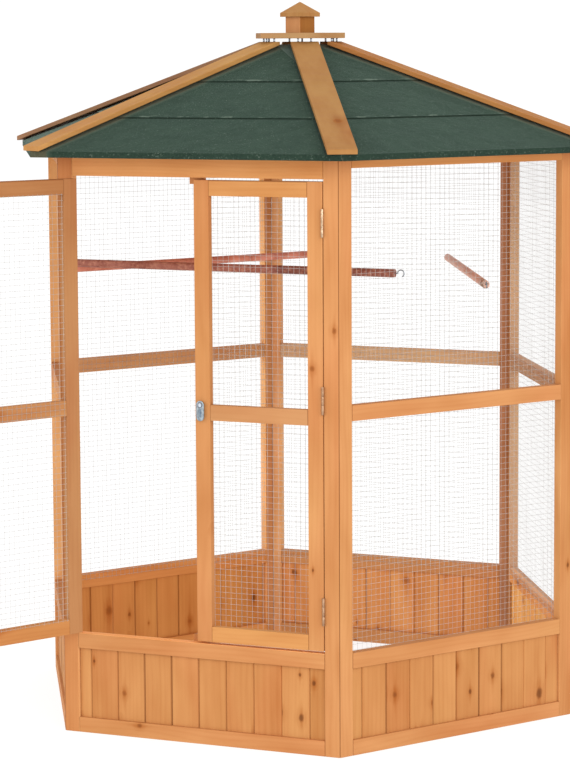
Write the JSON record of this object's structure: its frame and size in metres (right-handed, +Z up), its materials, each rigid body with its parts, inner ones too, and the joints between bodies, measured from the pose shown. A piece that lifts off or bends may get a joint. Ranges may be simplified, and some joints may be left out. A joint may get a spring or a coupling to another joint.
{
  "type": "hexagonal garden aviary",
  "caption": "Hexagonal timber aviary with boarded base, wire mesh walls, a pair of mesh doors, a green felted roof with hip battens and finial, and perches inside.",
  "frame": {"origin": "foot of the door side: middle of the outer face of its bottom rail, on the ground", "axes": "+X to the right of the doors, +Y into the aviary, +Z up"},
  "size_m": [1.4684, 1.497, 1.6214],
  "materials": {
    "frame_pine": "stained softwood frame timber, planed, satin",
    "base_boards": "stained knotty softwood boards with V joints, satin",
    "roof_boards": "stained softwood roof boards under the felt",
    "roof_felt": "green mineral roofing felt with slate granules, matt",
    "mesh_wire": "galvanised welded wire",
    "zinc_hardware": "bright zinc plate",
    "perch_wood": "red-brown stained dowel, matt"
  },
  "bodies": {
    "aviary": {"front_stiles": "frame_pine", "front_rails": "frame_pine", "front_boards": "base_boards", "door_stops": "frame_pine", "frame_hinges": "zinc_hardware", "right_front_stiles": "frame_pine", "right_front_rails": "frame_pine", "right_front_boards": "base_boards", "right_front_mesh": "mesh_wire", "right_back_stiles": "frame_pine", "right_back_rails": "frame_pine", "right_back_boards": "base_boards", "right_back_mesh": "mesh_wire", "back_stiles": "frame_pine", "back_rails": "frame_pine", "back_boards": "base_boards", "back_mesh": "mesh_wire", "left_back_stiles": "frame_pine", "left_back_rails": "frame_pine", "left_back_boards": "base_boards", "left_back_mesh": "mesh_wire", "left_front_stiles": "frame_pine", "left_front_rails": "frame_pine", "left_front_boards": "base_boards", "left_front_mesh": "mesh_wire", "roof_decks": "roof_boards", "felt_front": "roof_felt", "felt_right_front": "roof_felt", "felt_right_back": "roof_felt", "felt_back": "roof_felt", "felt_left_back": "roof_felt", "felt_left_front": "roof_felt", "hip_battens": "frame_pine", "apex_screws": "zinc_hardware", "apex_plate": "frame_pine", "finial_block": "frame_pine", "finial_cap": "frame_pine", "perches": "perch_wood", "perch_hooks": "zinc_hardware"},
    "left_door": {"left_leaf_stiles": "frame_pine", "left_leaf_rails": "frame_pine", "left_leaf_mesh": "mesh_wire", "left_leaf_hinges": "zinc_hardware"},
    "right_door": {"right_leaf_stiles": "frame_pine", "right_leaf_rails": "frame_pine", "right_leaf_mesh": "mesh_wire", "right_leaf_hinges": "zinc_hardware", "catch_screw": "zinc_hardware"},
    "turn_button": {"catch": "zinc_hardware"}
  },
  "joints": [
    {"name": "left_door_hinge", "type": "hinge", "parent": "aviary", "child": "left_door", "pos_m": [-0.2965, -0.0035, 0.735], "axis": [0, 0, 1], "range_deg": [-54, 116]},
    {"name": "right_door_hinge", "type": "hinge", "parent": "aviary", "child": "right_door", "pos_m": [0.2965, -0.0035, 0.735], "axis": [0, 0, 1], "range_deg": [0, 170]},
    {"name": "turn_button_pivot", "type": "hinge", "parent": "right_door", "child": "turn_button", "pos_m": [0.0105, -0.006, 0.751], "axis": [0, 1, 0], "range_deg": [0, 90]}
  ]
}
